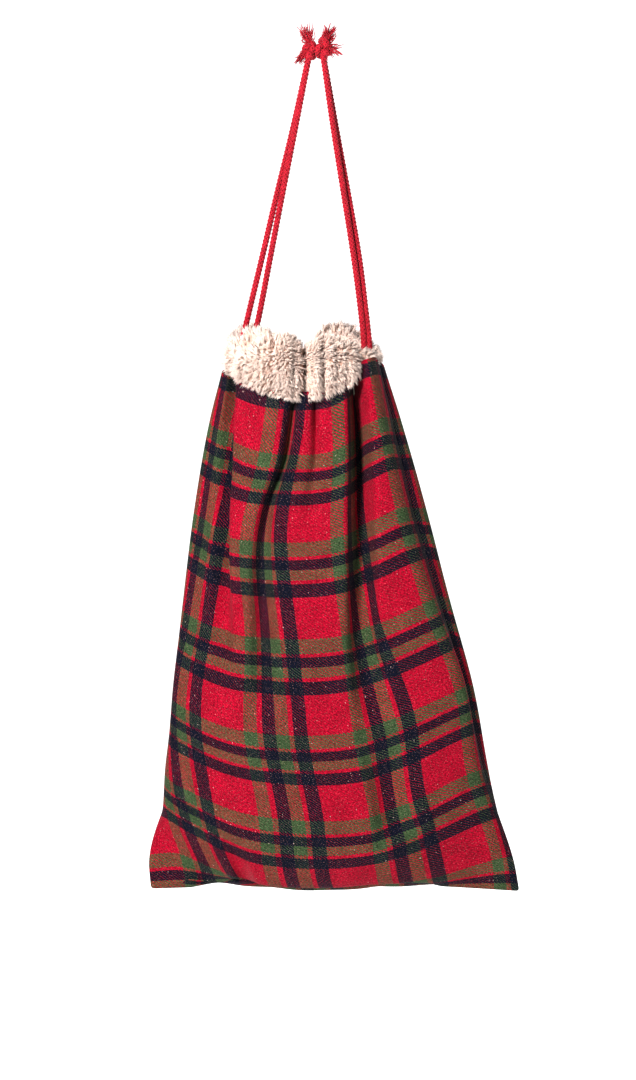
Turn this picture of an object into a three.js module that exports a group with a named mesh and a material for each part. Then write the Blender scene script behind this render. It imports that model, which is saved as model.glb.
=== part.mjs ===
// A drawstring gift sack: a tartan bag with a fur ruffle round its gathered mouth, hung up by its
// two knotted drawcords. Millimetres, +Z up, +X to the right, and the front of the sack faces -Y.
// The origin is the hanging point, in the fork of the cords just under their knots.

import * as THREE from "three";

// ---------- driving dimensions ----------

const GAP = 0.3; // clearance kept between sewn layers
const TWILL = 3; // wall of a panel, with its lining of brushed nap
const FUR_OUTSIDE = 6; // base of the fur on the outside of the ruffle
const FUR_INSIDE = 5; // base of the fur on the inside of the ruffle
const CHANNEL_TAPE = 1.2;
const CHANNEL_HEIGHT = 22;
const SEAM_ALLOWANCE = 10;
const SEAM_THICKNESS = 1;

const CORD_RADIUS = 3.5;
const CORD_SIDES = 8;
const CORD_STEP = 18; // length of one tube segment on a nearly straight cord
const BENT_CORD_STEP = 9; // and where the cord turns sharply

const BOTTOM = -1001;
const CORD_BEND = -385; // height at which the legs reach the channel and the sack tilts on them
const DRAW_TRAVEL = 30; // cord that feeds out as the neck is drawn tighter

const COLOURS = {
  tartan: 0xb51a33,
  fur: 0xe2d2c2,
  cord: 0xc21c36,
  tape: 0xe6ddcf,
};

// Half-girth steps of every wall, so that nested layers share their facets.
const GIRTH_STEPS = 24;

// The hanging sack's outline: height, left edge, right edge and half depth.
const OUTLINE = [
  [-1001, -198, 244, 4.2],
  [-975, -199, 238, 10],
  [-940, -196, 223, 20],
  [-900, -185, 212, 30],
  [-850, -180, 198, 37],
  [-750, -168, 181, 45],
  [-650, -157, 157, 50],
  [-550, -145, 137, 49],
  [-480, -134, 117, 45],
  [-430, -121, 101, 40],
  [-390, -110, 90, 35],
  [-350, -114, 87, 38],
  [-300, -112, 86, 44],
];

// ---------- the shape of the sack ----------

// Left edge, right edge and half depth at one height, between the two nearest outline rows.
function outlineAt(height) {
  const last = OUTLINE.length - 1;
  const above = OUTLINE.findIndex((row) => row[0] >= height);
  const upper = above < 0 ? last : Math.max(above, 1);
  const low = OUTLINE[upper - 1];
  const high = OUTLINE[upper];
  const part = (height - low[0]) / (high[0] - low[0]);
  return [1, 2, 3].map((column) => THREE.MathUtils.lerp(low[column], high[column], part));
}

// A point of the oval girth at an angle (0 right, 90 degrees back, 180 left, 270 front), moved inwards.
function girthPoint(angle, height, inset) {
  const [left, right, depth] = outlineAt(height);
  const halfWidth = (right - left) / 2;
  return new THREE.Vector3(
    (left + right) / 2 + (halfWidth - inset) * Math.cos(angle),
    (depth - inset) * Math.sin(angle),
    height,
  );
}

// Height of the gather line, which dips between the two cord exits, most at the front.
function gatherLine(angle) {
  const dip = Math.sin(angle) < 0 ? 38 : 26;
  return -380 + 4 * Math.cos(angle) - dip * Math.sin(angle) ** 2;
}

// Height of the ruffle's rim, which stands highest at the back and on the left.
function ruffleRim(angle) {
  return -331 + 12 * Math.sin(angle) - 12 * Math.cos(angle);
}

// The two halves of the girth: where each starts, and which way it is eased off the other half.
const HALVES = {
  front: { start: Math.PI, side: -1 },
  back: { start: 0, side: 1 },
};

// A curved wall over half of the girth, from a box whose length, thickness and height are bent to it.
function wall(half, { outer, inner, low, high, rows, trim = 0 }) {
  const box = new THREE.BoxGeometry(1, 1, 1, GIRTH_STEPS, 1, rows);
  const corner = new THREE.Vector3();
  const places = box.getAttribute("position");
  for (let i = 0; i < places.count; i += 1) {
    corner.fromBufferAttribute(places, i).addScalar(0.5);
    const angle = half.start + trim + corner.x * (Math.PI - 2 * trim);
    const height = THREE.MathUtils.lerp(low(angle), high(angle), corner.z);
    const point = girthPoint(angle, height, THREE.MathUtils.lerp(outer, inner, corner.y));
    places.setXYZ(i, point.x, point.y + (half.side * GAP) / 2, point.z);
  }
  return box;
}

// A round cord along a smooth line through points chosen by hand.
function cordTube(points, step = CORD_STEP) {
  const line = new THREE.CatmullRomCurve3(points.map((point) => new THREE.Vector3(...point)));
  const section = new THREE.Shape();
  for (let i = 0; i <= CORD_SIDES; i += 1) {
    const turn = ((i % CORD_SIDES) * 2 * Math.PI) / CORD_SIDES;
    const x = CORD_RADIUS * Math.cos(turn);
    const y = CORD_RADIUS * Math.sin(turn);
    if (i === 0) section.moveTo(x, y);
    else section.lineTo(x, y);
  }
  const steps = Math.max(2, Math.ceil(line.getLength() / step));
  return new THREE.ExtrudeGeometry(section, { steps, extrudePath: line, curveSegments: 1 });
}

// ---------- the finished group ----------

const sack = new THREE.Group();

const materials = Object.fromEntries(
  Object.entries(COLOURS).map(([slot, color]) => [
    slot,
    new THREE.MeshStandardMaterial({ color, roughness: 0.95, metalness: 0 }),
  ]),
);

function add(name, geometry, material) {
  const mesh = new THREE.Mesh(geometry, material);
  mesh.name = name;
  sack.add(mesh);
  return mesh;
}

// ---------- panels and their seam allowances ----------

function addPanels() {
  for (const [name, half] of Object.entries(HALVES)) {
    const shape = { outer: 0, inner: TWILL, low: () => BOTTOM, rows: 14 };
    add(`${name}_panel`, wall(half, { ...shape, high: (angle) => gatherLine(angle) - GAP }),
      materials.tartan);
  }
}

// A side seam allowance points inwards from the sack's edge and follows it from hem to channel.
function sideSeam(edgeColumn, inward) {
  const low = BOTTOM + 22;
  const high = CORD_BEND - 60;
  const strip = new THREE.BoxGeometry(1, 1, 1, 1, 1, 12);
  const corner = new THREE.Vector3();
  const places = strip.getAttribute("position");
  for (let i = 0; i < places.count; i += 1) {
    corner.fromBufferAttribute(places, i);
    const height = THREE.MathUtils.lerp(low, high, corner.z + 0.5);
    const edge = outlineAt(height)[edgeColumn] + inward * (TWILL + 5 + SEAM_ALLOWANCE / 2);
    places.setXYZ(i, edge + corner.x * SEAM_ALLOWANCE, corner.y * SEAM_THICKNESS, height);
  }
  return strip;
}

function addSeams() {
  add("left_seam_allowance", sideSeam(0, 1), materials.tartan);
  add("right_seam_allowance", sideSeam(1, -1), materials.tartan);
  const [left, right] = outlineAt(BOTTOM);
  const cornerClearance = 35;
  const length = right - left - 2 * cornerClearance;
  const seam = add("bottom_seam_allowance",
    new THREE.BoxGeometry(length, SEAM_THICKNESS, SEAM_ALLOWANCE), materials.tartan);
  seam.position.set((left + right) / 2, 0, BOTTOM + 2 + SEAM_ALLOWANCE / 2);
}

// ---------- fur ruffle ----------

function addRuffle() {
  for (const [name, half] of Object.entries(HALVES)) {
    const outside = { outer: 0, inner: FUR_OUTSIDE, low: gatherLine, high: ruffleRim, rows: 3 };
    add(`${name}_ruffle_outside`, wall(half, outside), materials.fur);
    const inside = {
      outer: FUR_OUTSIDE + GAP,
      inner: FUR_OUTSIDE + GAP + FUR_INSIDE,
      low: (angle) => gatherLine(angle) + 2.5,
      high: (angle) => ruffleRim(angle) - 4,
      rows: 3,
    };
    add(`${name}_ruffle_inside`, wall(half, inside), materials.fur);
  }
}

// ---------- drawcord channel ----------

const RUN_INSET = TWILL + 0.8 + CORD_RADIUS;
const TAPE_INSET = RUN_INSET + CORD_RADIUS + 1.8;

function addChannelTapes() {
  for (const [name, half] of Object.entries(HALVES)) {
    const tape = {
      outer: TAPE_INSET,
      inner: TAPE_INSET + CHANNEL_TAPE,
      low: (angle) => gatherLine(angle) - CHANNEL_HEIGHT,
      high: (angle) => gatherLine(angle) - 1,
      rows: 2,
      trim: 0.42,
    };
    add(`${name}_channel_tape`, wall(half, tape), materials.tape);
  }
}

// One cord's way round the channel, from its exit all the way to its exit again.
function channelRun(exitAngle, drop) {
  const exitGap = 0.3;
  const count = 30;
  const points = [];
  for (let i = 0; i <= count; i += 1) {
    const angle = exitAngle + exitGap + (i / count) * (2 * Math.PI - 2 * exitGap);
    points.push(girthPoint(angle, gatherLine(angle) - drop, RUN_INSET).toArray());
  }
  return cordTube(points, BENT_CORD_STEP);
}

function addChannelRuns() {
  add("left_cord_run", channelRun(Math.PI, 5), materials.cord);
  add("right_cord_run", channelRun(0, 14), materials.cord);
}

// ---------- free cords ----------

// Each leg, from its knot down to the channel. The legs of a pair lie one behind the other at the
// top and side by side at the bottom.
const LEGS = {
  left_outer: [[-10.2, 3.9, -9.5], [-28, 3.8, -90], [-48, 3.2, -172], [-65, 1.5, -245],
    [-81, 0, -312], [-89.5, 0, -350], [-91, 0, -383.8]],
  left_inner: [[-9.6, -3.9, -9.5], [-25, -3.8, -90], [-41, -3.2, -172], [-55, -1.5, -245],
    [-69, 0, -317], [-78, 0, -352], [-80.5, 0, -383.8]],
  right_inner: [[9.6, -3.9, -9.5], [20, -3.9, -90], [32, -3.4, -172], [43, -2.4, -245],
    [52, -1.2, -305], [57.6, 0, -346], [57.8, 0, -383.8]],
  right_outer: [[10.2, 3.9, -9.5], [25, 3.9, -90], [41, 3.4, -172], [53, 2.4, -245],
    [60.5, 1.2, -305], [66, 0, -346], [66.8, 0, -383.8]],
};

function addCords() {
  for (const [name, points] of Object.entries(LEGS)) {
    add(`${name}_leg`, cordTube(points), materials.cord);
    const [x, y] = points.at(-1);
    const top = CORD_BEND - 1.2;
    const tail = [[x, y, top], [x, y, top - (DRAW_TRAVEL + CORD_RADIUS) / 2],
      [x, y, top - DRAW_TRAVEL - CORD_RADIUS]];
    add(`${name}_tail`, cordTube(tail), materials.cord);
  }
}

// ---------- knots and frayed ends ----------

// Centre and half size of each knot.
const KNOTS = {
  left_knot: { centre: [-7.6, 0, 5.5], half: [7, 8, 8.5] },
  right_knot: { centre: [9.2, 0, 8], half: [8.5, 8.5, 11] },
};

// Root, tip and root radius of each frayed end.
const FRAYED_ENDS = {
  left_upper_fray: { root: [-9.5, 0, 14.6], tip: [-14, -1, 28] },
  left_lower_fray: { root: [-15.6, -3, 2.5], tip: [-22.5, -4, -8] },
  right_upper_fray: { root: [10.5, 0, 19.8], tip: [14, -1, 30] },
  right_lower_fray: { root: [17.6, -6.5, 4], tip: [23, -9.5, -6] },
};

function addKnots() {
  for (const [name, { centre, half }] of Object.entries(KNOTS)) {
    const lump = new THREE.SphereGeometry(1, 16, 10);
    lump.rotateX(Math.PI / 2);
    lump.scale(...half);
    add(name, lump, materials.cord).position.set(...centre);
  }
}

function addFrayedEnds() {
  const up = new THREE.Vector3(0, 1, 0);
  for (const [name, { root, tip }] of Object.entries(FRAYED_ENDS)) {
    const from = new THREE.Vector3(...root);
    const along = new THREE.Vector3(...tip).sub(from);
    const brush = new THREE.CylinderGeometry(CORD_RADIUS + 0.8, CORD_RADIUS - 1, along.length(), 10);
    const mesh = add(name, brush, materials.cord);
    mesh.position.copy(from).addScaledVector(along, 0.5);
    mesh.quaternion.setFromUnitVectors(up, along.normalize());
  }
}

addPanels();
addSeams();
addRuffle();
addChannelTapes();
addChannelRuns();
addCords();
addKnots();
addFrayedEnds();

export default sack;
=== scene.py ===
"""A hanging tartan drawstring sack: gathered cloth body, fur ruffle and knotted drawcords."""

import logging
import math
import random
from dataclasses import dataclass, field
from enum import Enum
from typing import Sequence

import bpy
import numpy as np
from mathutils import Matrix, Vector


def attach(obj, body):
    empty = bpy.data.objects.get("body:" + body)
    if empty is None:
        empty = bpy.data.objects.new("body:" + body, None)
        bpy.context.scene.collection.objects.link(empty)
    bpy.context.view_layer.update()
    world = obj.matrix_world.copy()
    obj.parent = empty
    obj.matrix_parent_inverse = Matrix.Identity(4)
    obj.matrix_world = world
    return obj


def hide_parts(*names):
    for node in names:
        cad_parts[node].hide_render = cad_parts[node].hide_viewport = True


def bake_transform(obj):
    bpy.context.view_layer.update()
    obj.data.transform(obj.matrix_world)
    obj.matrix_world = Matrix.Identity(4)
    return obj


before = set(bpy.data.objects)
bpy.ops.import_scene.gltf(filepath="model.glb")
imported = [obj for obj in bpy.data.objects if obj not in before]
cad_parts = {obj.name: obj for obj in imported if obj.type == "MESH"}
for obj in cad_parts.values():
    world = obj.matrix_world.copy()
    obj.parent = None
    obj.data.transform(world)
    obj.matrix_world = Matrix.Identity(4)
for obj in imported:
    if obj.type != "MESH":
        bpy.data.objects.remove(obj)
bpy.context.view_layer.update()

LOG = logging.getLogger("sack")
MM = 0.001
CLOTH_MAP = "cloth"
YARN_MAP = "yarn"
TIP = "tip"
LAY = "lay"
COVER = "cover"

SACK_WIDTH = 450.0
SACK_HEIGHT = 675.0
CORD_RADIUS = 3.5
RUFFLE_HEIGHT = 68.0


class Slot(Enum):
    """The finishes that the record names."""

    TARTAN = "tartan"
    FUR = "fur"
    CORD = "cord"
    TAPE = "tape"


class Body(Enum):
    """The moving bodies of the sack."""

    KNOTS = "knots"
    CORDS = "cords"
    TAILS = "cord_tails"
    SACK = "sack"


class Side(Enum):
    """The two faces of the sack."""

    FRONT = "front"
    BACK = "back"


class Thread(Enum):
    """The three yarn colours of the tartan: linear colour, and how much it covers the other yarn."""

    GREEN = (0.052, 0.088, 0.038, 0.25)
    RED = (0.355, 0.002, 0.025, 0.0)
    NAVY = (0.004, 0.006, 0.017, 1.0)


# ---------------------------------------------------------------- curves and meshes


def smooth_value(at: Sequence[float], values: Sequence[float], where: float) -> float:
    """Reads a smooth curve through a few points.

    Args:
        at: the points' places, rising.
        values: the curve's value at each place.
        where: the place to read.

    Returns:
        The curve's value there.
    """
    places = np.asarray(at, float)
    heights = np.asarray(values, float)
    steps = np.diff(heights) / np.diff(places)
    slopes = np.zeros(len(places))
    slopes[1:-1] = (steps[1:] + steps[:-1]) / 2
    slopes[0], slopes[-1] = steps[0], steps[-1]
    i = int(np.clip(np.searchsorted(places, where) - 1, 0, len(places) - 2))
    span = places[i + 1] - places[i]
    t = (where - places[i]) / span
    start = (2 * t**3 - 3 * t**2 + 1) * heights[i] + (t**3 - 2 * t**2 + t) * span * slopes[i]
    end = (3 * t**2 - 2 * t**3) * heights[i + 1] + (t**3 - t**2) * span * slopes[i + 1]
    return float(start + end)


def spline(points: Sequence[Sequence[float]], steps: int) -> np.ndarray:
    """Draws a smooth curve through points in space.

    Args:
        points: the points it passes.
        steps: how many short lines it has between two points.

    Returns:
        The curve's points, one row each.
    """
    p = np.asarray(points, float)
    p = np.vstack([2 * p[0] - p[1], p, 2 * p[-1] - p[-2]])
    t = np.linspace(0, 1, steps, endpoint=False)[:, None]
    rows = []
    for a, b, c, d in zip(p, p[1:], p[2:], p[3:]):
        cubic = (3 * b - a - 3 * c + d) * t**3 + (2 * a - 5 * b + 4 * c - d) * t**2
        rows.append(0.5 * (cubic + (c - a) * t + 2 * b))
    return np.vstack(rows + [p[-2][None, :]])


def even(points: np.ndarray, step: float) -> np.ndarray:
    """Spaces a curve's points evenly.

    Args:
        points: the curve's points.
        step: the wanted distance between two.

    Returns:
        The same curve at even steps.
    """
    reach = np.r_[0, np.cumsum(np.linalg.norm(np.diff(points, axis=0), axis=1))]
    count = max(2, int(round(reach[-1] / step)) + 1)
    at = np.linspace(0, reach[-1], count)
    return np.stack([np.interp(at, reach, points[:, k]) for k in range(3)], 1)


def unit(rows: np.ndarray) -> np.ndarray:
    """Scales each row to length one."""
    return rows / np.maximum(np.linalg.norm(rows, axis=-1, keepdims=True), 1e-9)


def sweep_frames(path: np.ndarray) -> tuple[np.ndarray, np.ndarray]:
    """Carries a pair of cross directions along a path without twisting them.

    Args:
        path: the path's points.

    Returns:
        The two cross directions at each point.
    """
    ahead = unit(np.gradient(path, axis=0))
    first = np.cross(ahead[0], (0.0, 1.0, 0.0))
    if np.linalg.norm(first) < 0.1:
        first = np.cross(ahead[0], (1.0, 0.0, 0.0))
    across = [unit(first)]
    for direction in ahead[1:]:
        turned = across[-1] - direction * float(np.dot(across[-1], direction))
        across.append(unit(turned))
    side = np.array(across)
    return side, np.cross(ahead, side)


@dataclass
class MeshParts:
    """Collects corners, faces and surface coordinates for one mesh."""

    corners: list = field(default_factory=list)
    faces: list = field(default_factory=list)
    maps: list = field(default_factory=list)

    def tube(self, path: np.ndarray, out: np.ndarray, wide: np.ndarray, size: np.ndarray, sides: int) -> None:
        """Adds a closed tube of oval section.

        Args:
            path: its centre line.
            out: the section's first direction at each point.
            wide: the section's second direction at each point.
            size: the two half sizes at each point.
            sides: how many sides the section has.
        """
        base = len(self.corners)
        angles = np.arange(sides) * 2 * math.pi / sides
        reach = np.r_[0, np.cumsum(np.linalg.norm(np.diff(path, axis=0), axis=1))]
        rounds = (
            np.cos(angles)[None, :, None] * (out * size[:, :1])[:, None, :]
            + np.sin(angles)[None, :, None] * (wide * size[:, 1:])[:, None, :]
        )
        rings = path[:, None, :] + rounds
        self.corners.extend(map(tuple, rings.reshape(-1, 3)))
        for i, along in enumerate(reach):
            self.maps.extend((k / sides, float(along)) for k in range(sides))
        for i in range(len(path) - 1):
            for k in range(sides):
                n = (k + 1) % sides
                low, high = base + i * sides, base + (i + 1) * sides
                self.faces.append((low + k, low + n, high + n, high + k))
        last = base + (len(path) - 1) * sides
        self.faces.append(tuple(base + k for k in reversed(range(sides))))
        self.faces.append(tuple(last + k for k in range(sides)))

    def grid(self, rows: np.ndarray, maps: np.ndarray, flip: bool = False) -> None:
        """Adds a sheet of four-sided faces.

        Args:
            rows: the corners, by row and column.
            maps: the surface coordinates of each corner.
            flip: turn the faces over.
        """
        base = len(self.corners)
        high, wide = rows.shape[:2]
        self.corners.extend(map(tuple, rows.reshape(-1, 3)))
        self.maps.extend(map(tuple, maps.reshape(-1, 2)))
        for j in range(high - 1):
            for k in range(wide - 1):
                a = base + j * wide + k
                face = (a, a + 1, a + wide + 1, a + wide)
                self.faces.append(face[::-1] if flip else face)

    def piece(self, name: str, uv_name: str) -> bpy.types.Object:
        """Makes the collected shapes one object, in metres.

        Args:
            name: the object's name.
            uv_name: the name of its surface map.

        Returns:
            The object, linked to the scene.
        """
        mesh = bpy.data.meshes.new(name)
        mesh.from_pydata([tuple(c * MM for c in corner) for corner in self.corners], [], self.faces)
        layer = mesh.uv_layers.new(name=uv_name)
        picked = np.zeros(len(mesh.loops), int)
        mesh.loops.foreach_get("vertex_index", picked)
        layer.data.foreach_set("uv", np.asarray(self.maps, float)[picked].ravel())
        mesh.polygons.foreach_set("use_smooth", [True] * len(mesh.polygons))
        mesh.update()
        made = bpy.data.objects.new(name, mesh)
        bpy.context.scene.collection.objects.link(made)
        return made


def frozen(source: bpy.types.Object, name: str) -> bpy.types.Object:
    """Turns an object and its modifiers into a plain mesh object.

    Args:
        source: the object to turn; it is removed.
        name: the new object's name.

    Returns:
        The plain object.
    """
    seen = source.evaluated_get(bpy.context.evaluated_depsgraph_get())
    mesh = bpy.data.meshes.new_from_object(seen)
    bpy.data.objects.remove(source)
    mesh.name = name
    made = bpy.data.objects.new(name, mesh)
    bpy.context.scene.collection.objects.link(made)
    return made


def dress(piece: bpy.types.Object, material: bpy.types.Material) -> bpy.types.Object:
    """Gives a piece its finish.

    Args:
        piece: the piece.
        material: its material.

    Returns:
        The same piece.
    """
    piece.data.materials.clear()
    piece.data.materials.append(material)
    LOG.info("made %s with %d faces", piece.name, len(piece.data.polygons))
    return piece


# ---------------------------------------------------------------- finishes


class Finish:
    """Lays the nodes of one material and wires them."""

    def __init__(self, name: str) -> None:
        """Starts a material with its own principled shader."""
        self.material = bpy.data.materials.new(name)
        self.material.use_nodes = True
        self.tree = self.material.node_tree
        self.shader = self.tree.nodes["Principled BSDF"]

    def feed(self, socket: bpy.types.NodeSocket, value: object) -> None:
        """Links a socket, or sets its value.

        Args:
            socket: the socket to fill.
            value: another node's output, or a plain value.
        """
        if isinstance(value, bpy.types.NodeSocket):
            self.tree.links.new(value, socket)
        else:
            socket.default_value = value

    def set(self, **values: object) -> None:
        """Sets the shader's sockets, named with underscores for spaces."""
        for name, value in values.items():
            self.feed(self.shader.inputs[name.replace("_", " ")], value)

    def place(self, map_name: str = "") -> bpy.types.NodeSocket:
        """Gives a surface map, or the object's own coordinates.

        Args:
            map_name: the surface map's name, or nothing for the object's coordinates.

        Returns:
            The coordinates.
        """
        if map_name:
            node = self.tree.nodes.new("ShaderNodeUVMap")
            node.uv_map = map_name
            return node.outputs["UV"]
        return self.tree.nodes.new("ShaderNodeTexCoord").outputs["Object"]

    def axis(self, vector: bpy.types.NodeSocket, name: str) -> bpy.types.NodeSocket:
        """Splits off one axis of a vector.

        Args:
            vector: the vector.
            name: X, Y or Z.

        Returns:
            The value along that axis.
        """
        node = self.tree.nodes.new("ShaderNodeSeparateXYZ")
        self.feed(node.inputs[0], vector)
        return node.outputs[name]

    def sum(
        self, operation: str, first: object, second: object = 0.0, third: object = 0.0
    ) -> bpy.types.NodeSocket:
        """Works out one sum.

        Args:
            operation: what is done with the values.
            first: the first value or socket.
            second: the second one, if the sum has it.
            third: the third one, if the sum has it.

        Returns:
            The sum.
        """
        node = self.tree.nodes.new("ShaderNodeMath")
        node.operation = operation
        for socket, value in zip(node.inputs, (first, second, third)):
            self.feed(socket, value)
        return node.outputs[0]

    def stretch(self, vector: bpy.types.NodeSocket, scale: tuple) -> bpy.types.NodeSocket:
        """Scales a vector by a different amount along each axis.

        Args:
            vector: the vector.
            scale: the three amounts.

        Returns:
            The scaled vector.
        """
        node = self.tree.nodes.new("ShaderNodeMapping")
        self.feed(node.inputs["Vector"], vector)
        node.inputs["Scale"].default_value = scale
        return node.outputs[0]

    def noise(self, vector: bpy.types.NodeSocket, scale: float, detail: float = 2.0) -> bpy.types.NodeSocket:
        """Gives soft noise between nought and one.

        Args:
            vector: the coordinates it is read at.
            scale: how fine it is.
            detail: how many finer layers it has.

        Returns:
            The noise.
        """
        node = self.tree.nodes.new("ShaderNodeTexNoise")
        self.feed(node.inputs["Vector"], vector)
        node.inputs["Scale"].default_value = scale
        node.inputs["Detail"].default_value = detail
        return node.outputs["Fac"]

    def range(
        self, value: object, low: object, high: object, to_low: float = 0.0, to_high: float = 1.0
    ) -> bpy.types.NodeSocket:
        """Maps one range smoothly on another.

        Args:
            value: the value to map.
            low: where the first range starts.
            high: where the first range ends.
            to_low: where the second range starts.
            to_high: where the second range ends.

        Returns:
            The mapped value.
        """
        node = self.tree.nodes.new("ShaderNodeMapRange")
        node.interpolation_type = "SMOOTHSTEP"
        names = ("Value", "From Min", "From Max", "To Min", "To Max")
        for name, fed in zip(names, (value, low, high, to_low, to_high)):
            self.feed(node.inputs[name], fed)
        return node.outputs["Result"]

    def mix(self, factor: object, first: object, second: object, mode: str = "MIX") -> bpy.types.NodeSocket:
        """Mixes two colours.

        Args:
            factor: the second colour's share.
            first: the first colour.
            second: the second colour.
            mode: how they are mixed.

        Returns:
            The mixed colour.
        """
        node = self.tree.nodes.new("ShaderNodeMix")
        node.data_type = "RGBA"
        node.blend_type = mode
        colours = [s for s in node.inputs if s.type == "RGBA"]
        self.feed(node.inputs["Factor"], factor)
        for socket, value in zip(colours, (first, second)):
            self.feed(socket, value)
        return next(s for s in node.outputs if s.type == "RGBA")

    def ramp(self, factor: object, stops: Sequence[tuple], hard: bool = False) -> bpy.types.Node:
        """Adds a colour ramp.

        Args:
            factor: where it is read.
            stops: the place and the colour of each stop.
            hard: the colours change at once, not gradually.

        Returns:
            The ramp's node.
        """
        node = self.tree.nodes.new("ShaderNodeValToRGB")
        node.color_ramp.interpolation = "CONSTANT" if hard else "LINEAR"
        elements = node.color_ramp.elements
        while len(elements) > 1:
            elements.remove(elements[-1])
        for i, (at, colour) in enumerate(stops):
            element = elements[0] if i == 0 else elements.new(at)
            element.position = at
            element.color = tuple(colour) if len(colour) == 4 else (*colour, 1.0)
        self.feed(node.inputs[0], factor)
        return node

    def tint(self, colour: object, factor: object, low: tuple, high: tuple) -> bpy.types.NodeSocket:
        """Multiplies a colour by a shade that runs from one stop to another.

        Args:
            colour: the colour.
            factor: what the shade follows.
            low: the place and the shade of the first stop.
            high: the place and the shade of the second stop.

        Returns:
            The shaded colour.
        """
        return self.mix(1.0, colour, self.ramp(factor, [low, high]).outputs[0], "MULTIPLY")

    def bump(self, height: bpy.types.NodeSocket, strength: float, depth: float) -> None:
        """Raises the surface by a height pattern.

        Args:
            height: the pattern.
            strength: how much of it is seen.
            depth: the height of its peaks, in metres.
        """
        node = self.tree.nodes.new("ShaderNodeBump")
        node.inputs["Strength"].default_value = strength
        node.inputs["Distance"].default_value = depth
        self.feed(node.inputs["Height"], height)
        self.feed(self.shader.inputs["Normal"], node.outputs[0])


@dataclass(frozen=True)
class TartanTwill:
    """Brushed two-by-two twill in a tartan sett. Widths are in millimetres."""

    warp: tuple = (
        (Thread.GREEN, 15.5), (Thread.RED, 6.0), (Thread.NAVY, 15.3), (Thread.GREEN, 15.3),
        (Thread.RED, 5.5), (Thread.NAVY, 15.8), (Thread.RED, 51.6),
    )
    weft: tuple = (
        (Thread.GREEN, 16.8), (Thread.RED, 4.2), (Thread.NAVY, 12.0), (Thread.GREEN, 12.0),
        (Thread.RED, 4.2), (Thread.NAVY, 15.6), (Thread.RED, 48.2),
    )
    warp_start: float = -182.0
    weft_start: float = 42.5
    rib_across: float = 4.4
    rib_up: float = 3.5
    navy_cover: float = 0.37

    def bands(
        self, kit: Finish, place: bpy.types.NodeSocket, sett: tuple, start: float, turn: float
    ) -> bpy.types.Node:
        """Repeats a sett's stripes across the cloth.

        Args:
            kit: the material being made.
            place: the cloth coordinate, in metres.
            sett: the stripes of one repeat.
            start: where a repeat starts, in millimetres.
            turn: 1 if the stripes run with the coordinate, or -1.

        Returns:
            The ramp that gives the stripes' colours.
        """
        repeat = sum(width for _, width in sett)
        phase = kit.sum("MULTIPLY_ADD", place, turn / (repeat * MM), -turn * start / repeat)
        stops, at = [], 0.0
        for thread, width in sett:
            stops.append((at / repeat, thread.value))
            at += width
        return kit.ramp(kit.sum("FRACT", phase), stops, hard=True)

    def build(self) -> bpy.types.Material:
        """Makes the cloth: stripes, twill ribs with painted shade in their grooves and painted highlight on
        their crests, heathered yarn, pale specks and nap.

        Returns:
            The material.
        """
        kit = Finish("brushed_tartan_twill")
        place = kit.place(CLOTH_MAP)
        across, up = kit.axis(place, "X"), kit.axis(place, "Y")
        warp = self.bands(kit, across, self.warp, self.warp_start, 1.0)
        weft = self.bands(kit, up, self.weft, self.weft_start, -1.0)
        waver = kit.sum("MULTIPLY", kit.noise(place, 300.0), 0.8)
        rib = kit.sum("MULTIPLY_ADD", across, 1 / (self.rib_across * MM), waver)
        rib = kit.sum("FRACT", kit.sum("MULTIPLY_ADD", up, 1 / (self.rib_up * MM), rib))
        wave = kit.sum("ABSOLUTE", kit.sum("MULTIPLY_ADD", rib, 2.0, -1.0))
        cover = kit.sum("SUBTRACT", warp.outputs["Alpha"], weft.outputs["Alpha"])
        cut = kit.sum("MULTIPLY_ADD", cover, self.navy_cover, 0.5)
        over = kit.range(wave, kit.sum("SUBTRACT", cut, 0.12), kit.sum("ADD", cut, 0.12))
        colour = kit.mix(over, warp.outputs["Color"], weft.outputs["Color"])
        fibre = kit.noise(place, 430.0, 3.0)
        colour = kit.tint(colour, fibre, (0.30, (0.45,) * 3), (0.70, (1.5,) * 3))
        # Painted shade and highlight: the colour is darkened to 0.70 in the rib grooves and lightened to 1.12
        # on the rib crests.
        shade = kit.range(wave, 0.15, 0.5, 0.70, 1.12)
        colour = kit.tint(colour, shade, (0.0, (0.0,) * 3), (1.0, (1.0,) * 3))
        patch = kit.noise(place, 45.0, 2.0)
        colour = kit.tint(colour, patch, (0.3, (0.86,) * 3), (0.7, (1.1,) * 3))
        speck = kit.range(kit.noise(kit.stretch(place, (1.0, 1.2, 1.0)), 700.0, 1.0), 0.62, 0.74, 0.0, 0.30)
        colour = kit.mix(speck, colour, (0.78, 0.40, 0.36, 1.0))
        fleck = kit.range(kit.noise(kit.stretch(place, (1.3, 1.0, 1.0)), 330.0, 0.0), 0.81, 0.85, 0.0, 0.4)
        colour = kit.mix(fleck, colour, (0.85, 0.62, 0.55, 1.0))
        kit.set(Base_Color=colour, Roughness=0.92, Sheen_Weight=0.07, Sheen_Roughness=0.35)
        kit.set(Sheen_Tint=(1.0, 0.72, 0.68, 1.0), Specular_IOR_Level=0.12)
        ribs = kit.sum("MULTIPLY_ADD", fibre, 0.8, kit.sum("MULTIPLY", wave, 0.6))
        kit.bump(ribs, 0.7, 0.0006)
        return kit.material


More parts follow.
